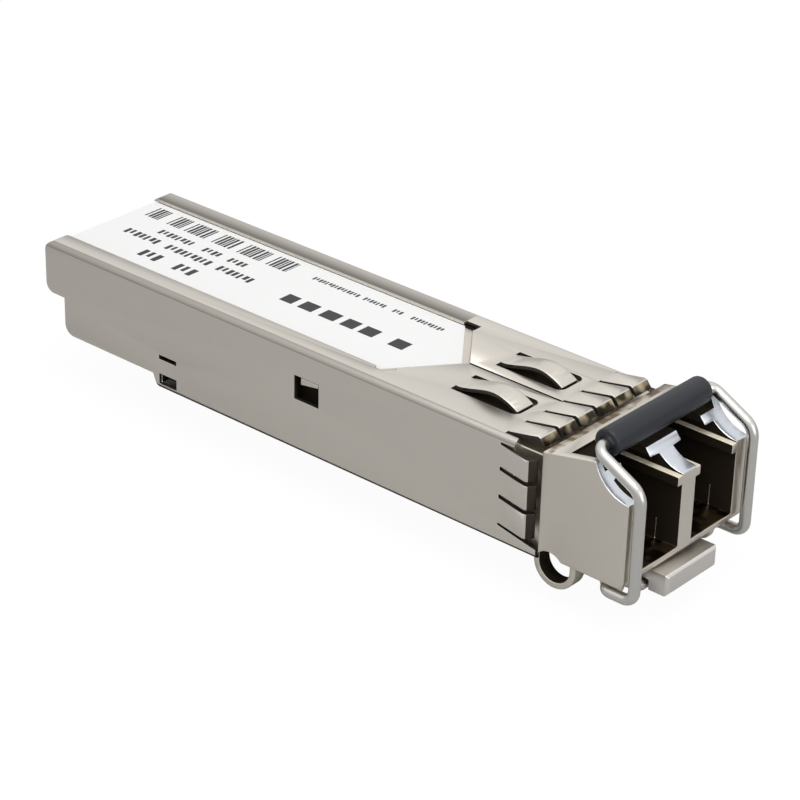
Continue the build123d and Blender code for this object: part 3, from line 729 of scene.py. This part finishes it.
    def raise_catches(self, form):
        """Catches behind the side windows, raised a little."""
        for vert in form.verts:
            x, y, z = vert.co / MM
            on_top = abs(z - self.CATCH_TOP_Z) < self.CATCH_BAND
            if on_top and self.CATCH_X[0] < x < self.CATCH_X[1] and abs(y) > self.CATCH_OUT_Y:
                vert.co.z = self.CATCH_RAISED_Z * MM

    def execute(self, context):
        metal = context.scene.transceiver_metal
        finishes = [
            nickel_material("Cast nickel", metal.nose_colour, metal.roughness),
            # Painted shade: dark brown in the ports, the channel, the lug rings and behind the case's
            # openings
            dark_cavity_material(),
            # Painted highlight: pale cream on the ledge tops of the nickel casting
            bare_material("Ledge cream", (0.9, 0.82, 0.64), 0.35, 0.0)[0],
            # Smoother nickel with a painted bluish reflection on the curved cut
            nickel_material("Scallop nickel", (0.66, 0.69, 0.74), metal.roughness - FINISH_STEP),
            # Painted brown shade and reflections on the strip beyond the finger tips
            tan_material("Tan reflection", metal.nose_colour, (0.2, 0.14, 0.07)),
            # Painted reflections: light brown with dark patches on the port floors
            tan_material("Port floor brown", (0.3, 0.21, 0.12), (0.04, 0.026, 0.014)),
        ]
        form = copy_of_node("housing")
        bmesh.ops.remove_doubles(form, verts=form.verts, dist=SHORTEST_EDGE)
        self.raise_catches(form)
        self.cut_zones(form)
        # Dark blocks behind the low slots, which take painted shade
        for side in (-1, 1):
            wall_y = sorted(side * out for out in self.WALL_OUT)
            low, high = zip(self.WALL_X, wall_y, self.WALL_Z)
            add_block(form, Vector(low) * MM, Vector(high) * MM)
        for face in form.faces:
            face.material_index = self.zone(face)
        piece = new_piece("cast_nose", form, "case", finishes)
        round_edges(piece, metal.cast_round)
        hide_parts("housing")
        return {"FINISHED"}


class BuildBail(bpy.types.Operator):
    """Bent wire of the bail and its moulded sleeve"""

    bl_idname = "transceiver.bail"
    bl_label = "Bail"

    CRANK = 0.85 * MM
    PIN_IN_Y = 1.9 * MM
    JOG_IN_Y, JOG_OUT_Y = 3.25 * MM, 4.45 * MM
    ARM_LOW_Z = 8.25 * MM
    CORE_GAP = 0.01 * MM
    LIP_STEPS = 5

    def execute(self, context):
        bail = context.scene.transceiver_bail
        metal = context.scene.transceiver_metal
        wire = bare_material("Bail steel", metal.wire_colour, metal.roughness - FINISH_STEP, 1.0)[0]
        radius = bail.wire_radius
        leg_y = WIRE_HIGH.y - radius
        leg_x = WIRE_HIGH.x - radius
        crank_x, crank_z = PIVOT.x + self.CRANK, PIVOT.z - self.CRANK
        grip_x = (GRIP_LOW.x + GRIP_HIGH.x) / 2
        grip_z = (GRIP_LOW.z + GRIP_HIGH.z) / 2
        foot, arm = bail.foot_bend, bail.arm_bend
        half_path = [
            (Vector((crank_x, self.PIN_IN_Y, crank_z)), foot),
            (Vector((crank_x, self.JOG_IN_Y, crank_z)), foot),
            (Vector((PIVOT.x, self.JOG_OUT_Y, PIVOT.z)), foot),
            (Vector((PIVOT.x, leg_y, PIVOT.z)), foot),
            (Vector((leg_x, leg_y, PIVOT.z)), foot),
            (Vector((leg_x, leg_y, self.ARM_LOW_Z)), arm),
            (Vector((grip_x, leg_y, grip_z)), foot),
        ]
        mirrored = [(Vector((point.x, -point.y, point.z)), bend) for point, bend in half_path]
        form = bmesh.new()
        bent_rod(form, mirrored + half_path[::-1], radius)
        piece = new_piece("bail_rod", form, "bail", [wire])
        for face in piece.data.polygons:
            face.use_smooth = True
        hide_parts("bail_wire")

        sleeve_form = bmesh.new()
        out = (GRIP_HIGH.z - GRIP_LOW.z) / 2
        half = GRIP_HIGH.y
        lip = bail.sleeve_lip
        core = radius + self.CORE_GAP
        profile = [(-half, core), (-half, out - lip)]
        for step in range(1, self.LIP_STEPS + 1):
            turn = math.pi / 2 * step / self.LIP_STEPS
            profile.append((-half + lip * (1 - math.cos(turn)), out - lip + lip * math.sin(turn)))
        profile += [(-place, radius_here) for place, radius_here in reversed(profile)]
        turned_bar(sleeve_form, [*profile, profile[0]], Vector((grip_x, 0, grip_z)), (0, 1, 0))
        sleeve_material, tree, surface = bare_material("Sleeve black", bail.sleeve_colour, 0.42)
        add_grain(tree, surface, SLEEVE_GRAIN_SCALE, SLEEVE_GRAIN_DEPTH)
        sleeve = new_piece("sleeve", sleeve_form, "bail", [sleeve_material])
        for face in sleeve.data.polygons:
            face.use_smooth = True
        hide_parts("bail_grip")
        return {"FINISHED"}


class BuildSlider(bpy.types.Operator):
    """Release slider under the nose"""

    bl_idname = "transceiver.slider"
    bl_label = "Release Slider"

    def execute(self, context):
        metal = context.scene.transceiver_metal
        nickel = nickel_material("Slider nickel", metal.slider_colour, metal.roughness)
        form = copy_of_node("release_slider")
        piece = new_piece("slider_plate", form, "release", [nickel])
        round_edges(piece, metal.edge_round)
        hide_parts("release_slider")
        return {"FINISHED"}


class BuildLabel(bpy.types.Operator):
    """White label with generic bars and blocks"""

    bl_idname = "transceiver.label"
    bl_label = "Label"

    BAR_ROW = (2.35, 4.15)
    BAR_GROUPS = (
        (-43.3, -41.9),
        (-40.9, -39.5),
        (-39.0, -36.8),
        (-36.0, -34.0),
        (-33.3, -30.9),
        (-30.2, -28.1),
    )
    PRINT_ROWS = (
        (0.65, 1.4, ((-40.2, -36.6), (-35.4, -33.5), (-32.7, -31.0))),
        (-1.0, -0.15, ((-42.3, -38.6), (-37.8, -33.1), (-32.3, -28.5))),
        (-3.2, -2.05, ((-38.5, -36.3), (-34.8, -32.8))),
        (2.85, 3.35, ((-25.8, -21.3), (-20.7, -18.5), (-17.8, -17.0), (-16.0, -12.9))),
    )
    WIDE_BAR, NARROW_BAR = 0.24, 0.14
    WIDE_GAP, NARROW_GAP = 0.2, 0.1
    LETTER_SHARE = 0.62
    LETTER_WIDTHS = (0.62, 0.5, 0.7)
    LETTER_CUTS = (0.0, 0.22, 0.0, 0.1)
    INK_SINK = 0.002 * MM
    WIDE_ROW = (-1.4, -0.15)
    WIDE_LETTERS = (
        (-25.2, -24.0),
        (-23.4, -22.0),
        (-21.3, -19.8),
        (-19.2, -17.9),
        (-17.4, -16.0),
        (-14.5, -13.1),
    )

    def execute(self, context):
        look = context.scene.transceiver_label
        paper, tree, surface = bare_material("Label paper", look.paper_colour, 0.55)
        piece = new_piece("paper_label", copy_of_node("label"), "case", [paper])
        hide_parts("label")

        ink = bare_material("Label ink", look.ink_colour, 0.6)[0]
        form = bmesh.new()
        top = LABEL_HIGH.z
        z_range = (top - self.INK_SINK, top + look.ink_height)

        def mark(x0, x1, y0, y1):
            """One printed block, in millimetres on the label."""
            add_block(form, (x0 * MM, y0 * MM, z_range[0]), (x1 * MM, y1 * MM, z_range[1]))

        # Groups of bars along the far edge
        for first, last in self.BAR_GROUPS:
            place, count = first, 0
            while place < last:
                wide = self.WIDE_BAR if (count * 5 + len(self.BAR_GROUPS)) % 3 else self.NARROW_BAR
                mark(place, min(place + wide, last), *self.BAR_ROW)
                place += wide + (self.NARROW_GAP if count % 4 else self.WIDE_GAP)
                count += 1
        # Words of small blocks that stand for print
        for low, high, words in self.PRINT_ROWS:
            pitch = (high - low) * self.LETTER_SHARE
            for first, last in words:
                for letter in range(max(1, round((last - first) / pitch))):
                    x0 = first + letter * pitch
                    wide = pitch * self.LETTER_WIDTHS[letter % len(self.LETTER_WIDTHS)]
                    cut = (high - low) * self.LETTER_CUTS[letter % len(self.LETTER_CUTS)]
                    mark(x0, x0 + wide, low + cut, high)
        # A word of wide blocks
        for first, last in self.WIDE_LETTERS:
            mark(first, last, *self.WIDE_ROW)
        new_piece("label_print", form, "case", [ink])
        return {"FINISHED"}


class BuildInside(bpy.types.Operator):
    """Board, contacts and optical subassemblies inside the case"""

    bl_idname = "transceiver.inside"
    bl_label = "Inside"

    FINISHES = (
        ("Board green", (0.02, 0.11, 0.04), 0.4, 0.0, ("pcb",)),
        ("Contact gold", (0.8, 0.55, 0.18), 0.25, 1.0, ("contacts_top", "contacts_bottom")),
        (
            "Chip black",
            (0.02, 0.02, 0.02),
            0.5,
            0.0,
            ("driver_chip", "amplifier_chip", "controller_chip", "memory_chip", "filter_coils"),
        ),
        ("Capacitor tan", (0.3, 0.2, 0.1), 0.5, 0.0, ("capacitors",)),
        (
            "Turned steel",
            (0.55, 0.53, 0.5),
            0.3,
            1.0,
            ("transmitter_barrel", "receiver_barrel", "transmitter_can", "receiver_can", "clamp_plate"),
        ),
        ("White ceramic", (0.8, 0.78, 0.72), 0.3, 0.0, ("transmitter_stub", "receiver_stub")),
        ("Amber film", (0.4, 0.16, 0.02), 0.35, 0.0, ("transmitter_flex", "receiver_flex")),
    )

    def execute(self, context):
        for name, colour, roughness, metallic, nodes in self.FINISHES:
            material = bare_material(name, colour, roughness, metallic)[0]
            for node in nodes:
                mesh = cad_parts[node].data
                mesh.materials.clear()
                mesh.materials.append(material)
        return {"FINISHED"}


class BuildStudio(bpy.types.Operator):
    """Floor, lamps, camera and surroundings"""

    bl_idname = "transceiver.studio"
    bl_label = "Studio"

    FLOOR_HALF_SIZE = 1.5
    FLOOR_GLOW = 1.06
    GLOW_SHARE = 0.9
    SKY_GREY = 0.75
    SKY_STRENGTH = 0.75
    HORIZON_Z, BACKDROP_Z = 0.08, 0.4
    SENSOR_WIDTH = 36.0

    # Name, place from the aim point, size in metres, share of the lamp power
    LAMPS = (
        ("overhead", (0.08, -0.08, 0.34), 0.3, 1.3),
        ("left", (-0.1, -0.4, 0.14), 0.22, 0.5),
        ("front", (0.4, -0.02, 0.12), 0.25, 0.85),
    )

    def execute(self, context):
        studio = context.scene.transceiver_studio
        self.lay_floor(context, studio)
        self.hang_lamps(context, studio)
        self.place_camera(context, studio)
        self.set_world(context, studio)
        context.scene.view_settings.view_transform = "Standard"
        return {"FINISHED"}

    def lay_floor(self, context, studio):
        """Pale floor clear of the opened bail, white to the camera, which keeps a soft shadow."""
        opened = PIVOT.z - (WIRE_HIGH.x - PIVOT.x)
        level = min(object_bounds()[0].z, opened) - FLOOR_GAP
        form = bmesh.new()
        place = Matrix.Translation((0, 0, level))
        bmesh.ops.create_grid(
            form, x_segments=1, y_segments=1, size=self.FLOOR_HALF_SIZE, matrix=place
        )
        mesh = bpy.data.meshes.new("floor")
        form.to_mesh(mesh)
        form.free()
        floor = bpy.data.objects.new("floor", mesh)
        context.scene.collection.objects.link(floor)
        grey = studio.floor_grey
        material, tree, surface = bare_material("Floor pale", (grey, grey, grey), 0.9)
        surface.inputs["Specular IOR Level"].default_value = 0.0
        glow = tree.nodes.new("ShaderNodeEmission")
        set_sockets(glow, {"Color": (1.0, 1.0, 1.0, 1.0), "Strength": self.FLOOR_GLOW})
        rays = tree.nodes.new("ShaderNodeLightPath")
        share = tree.nodes.new("ShaderNodeMath")
        share.operation = "MULTIPLY"
        share.inputs[1].default_value = self.GLOW_SHARE
        blend = tree.nodes.new("ShaderNodeMixShader")
        output = tree.nodes["Material Output"]
        tree.links.new(rays.outputs["Is Camera Ray"], share.inputs[0])
        tree.links.new(share.outputs["Value"], blend.inputs["Fac"])
        tree.links.new(surface.outputs["BSDF"], blend.inputs[1])
        tree.links.new(glow.outputs["Emission"], blend.inputs[2])
        tree.links.new(blend.outputs["Shader"], output.inputs["Surface"])
        mesh.materials.append(material)
        floor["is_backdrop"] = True

    def hang_lamps(self, context, studio):
        """Large soft lamps: overhead, at the camera's left and in front of the ports."""
        centre = Vector(studio.aim)
        for name, offset, size, share in self.LAMPS:
            light = bpy.data.lights.new(name, "AREA")
            light.shape = "SQUARE"
            light.size = size
            light.energy = studio.lamp_power * share
            lamp = bpy.data.objects.new(name, light)
            lamp.location = centre + Vector(offset)
            lamp.rotation_mode = "QUATERNION"
            lamp.rotation_quaternion = (-Vector(offset)).to_track_quat("-Z", "Y")
            context.scene.collection.objects.link(lamp)
            lamp.visible_glossy = name != "left"
            lamp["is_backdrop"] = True

    def place_camera(self, context, studio):
        """Camera at the photograph's angle."""
        across = math.cos(studio.elevation)
        back = Vector(
            (
                math.sin(studio.azimuth) * across,
                -math.cos(studio.azimuth) * across,
                math.sin(studio.elevation),
            )
        )
        data = bpy.data.cameras.new("camera")
        data.lens = studio.lens
        data.sensor_width = self.SENSOR_WIDTH
        data.dof.use_dof = False
        data.clip_start = 0.01
        data.clip_end = 10.0
        camera = bpy.data.objects.new("camera", data)
        camera.location = Vector(studio.aim) + back * studio.distance
        camera.rotation_mode = "QUATERNION"
        level = (-back).to_track_quat("-Z", "Y")
        camera.rotation_quaternion = level @ Quaternion((0, 0, 1), studio.roll)
        context.scene.collection.objects.link(camera)
        context.scene.camera = camera

    def set_world(self, context, studio):
        """Grey surroundings that show white to the camera and to reflections."""
        world = bpy.data.worlds.new("surroundings")
        world.use_nodes = True
        tree = world.node_tree
        sky = tree.nodes["Background"]
        grey = self.SKY_GREY
        set_sockets(sky, {"Color": (grey, grey, grey, 1.0), "Strength": self.SKY_STRENGTH})
        white = tree.nodes.new("ShaderNodeBackground")
        white.inputs["Color"].default_value = (1.0, 1.0, 1.0, 1.0)
        ray = tree.nodes.new("ShaderNodeTexCoord")
        axes = tree.nodes.new("ShaderNodeSeparateXYZ")
        ramp = tree.nodes.new("ShaderNodeMapRange")
        set_sockets(ramp, {"From Min": self.HORIZON_Z, "From Max": self.BACKDROP_Z})
        set_sockets(ramp, {"To Min": studio.horizon, "To Max": studio.backdrop})
        tree.links.new(ray.outputs["Generated"], axes.inputs["Vector"])
        tree.links.new(axes.outputs["Z"], ramp.inputs["Value"])
        rays = tree.nodes.new("ShaderNodeLightPath")
        camera_share = tree.nodes.new("ShaderNodeMix")
        tree.links.new(rays.outputs["Is Camera Ray"], camera_share.inputs["Factor"])
        tree.links.new(ramp.outputs["Result"], camera_share.inputs["A"])
        camera_share.inputs["B"].default_value = 1.0
        tree.links.new(camera_share.outputs["Result"], white.inputs["Strength"])
        either = tree.nodes.new("ShaderNodeMath")
        either.operation = "MAXIMUM"
        third = tree.nodes.new("ShaderNodeMath")
        third.operation = "MAXIMUM"
        blend = tree.nodes.new("ShaderNodeMixShader")
        output = tree.nodes["World Output"]
        tree.links.new(rays.outputs["Is Camera Ray"], either.inputs[0])
        tree.links.new(rays.outputs["Is Glossy Ray"], either.inputs[1])
        tree.links.new(either.outputs["Value"], third.inputs[0])
        tree.links.new(rays.outputs["Is Transmission Ray"], third.inputs[1])
        tree.links.new(third.outputs["Value"], blend.inputs["Fac"])
        tree.links.new(sky.outputs["Background"], blend.inputs[1])
        tree.links.new(white.outputs["Background"], blend.inputs[2])
        tree.links.new(blend.outputs["Shader"], output.inputs["Surface"])
        context.scene.world = world


class TransceiverPanel(bpy.types.Panel):
    """Sidebar panel with the settings and the build steps"""

    bl_idname = "VIEW3D_PT_transceiver"
    bl_label = "Transceiver"
    bl_space_type = "VIEW_3D"
    bl_region_type = "UI"
    bl_category = "Transceiver"

    def draw(self, context):
        layout = self.layout
        for group in ("transceiver_metal", "transceiver_bail", "transceiver_label", "transceiver_studio"):
            settings = getattr(context.scene, group)
            box = layout.box()
            for name in settings.bl_rna.properties.keys():
                if name not in ("rna_type", "name"):
                    box.prop(settings, name)
        for operator in OPERATORS:
            layout.operator(operator.bl_idname)


GROUPS = {
    "transceiver_metal": TransceiverMetal,
    "transceiver_bail": TransceiverBail,
    "transceiver_label": TransceiverLabel,
    "transceiver_studio": TransceiverStudio,
}
OPERATORS = (
    BuildFoldedCase,
    BuildCastNose,
    BuildBail,
    BuildSlider,
    BuildLabel,
    BuildInside,
    BuildStudio,
)


def register():
    for name, group in GROUPS.items():
        bpy.utils.register_class(group)
        setattr(bpy.types.Scene, name, PointerProperty(type=group))
    for operator in OPERATORS:
        bpy.utils.register_class(operator)
    bpy.utils.register_class(TransceiverPanel)


def unregister():
    bpy.utils.unregister_class(TransceiverPanel)
    for operator in reversed(OPERATORS):
        bpy.utils.unregister_class(operator)
    for name, group in reversed(GROUPS.items()):
        delattr(bpy.types.Scene, name)
        bpy.utils.unregister_class(group)


def main():
    register()
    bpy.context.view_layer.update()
    bpy.ops.transceiver.folded_case()
    bpy.ops.transceiver.cast_nose()
    bpy.ops.transceiver.bail()
    bpy.ops.transceiver.slider()
    bpy.ops.transceiver.label()
    bpy.ops.transceiver.inside()
    bpy.ops.transceiver.studio()


if __name__ == "__main__":
    main()
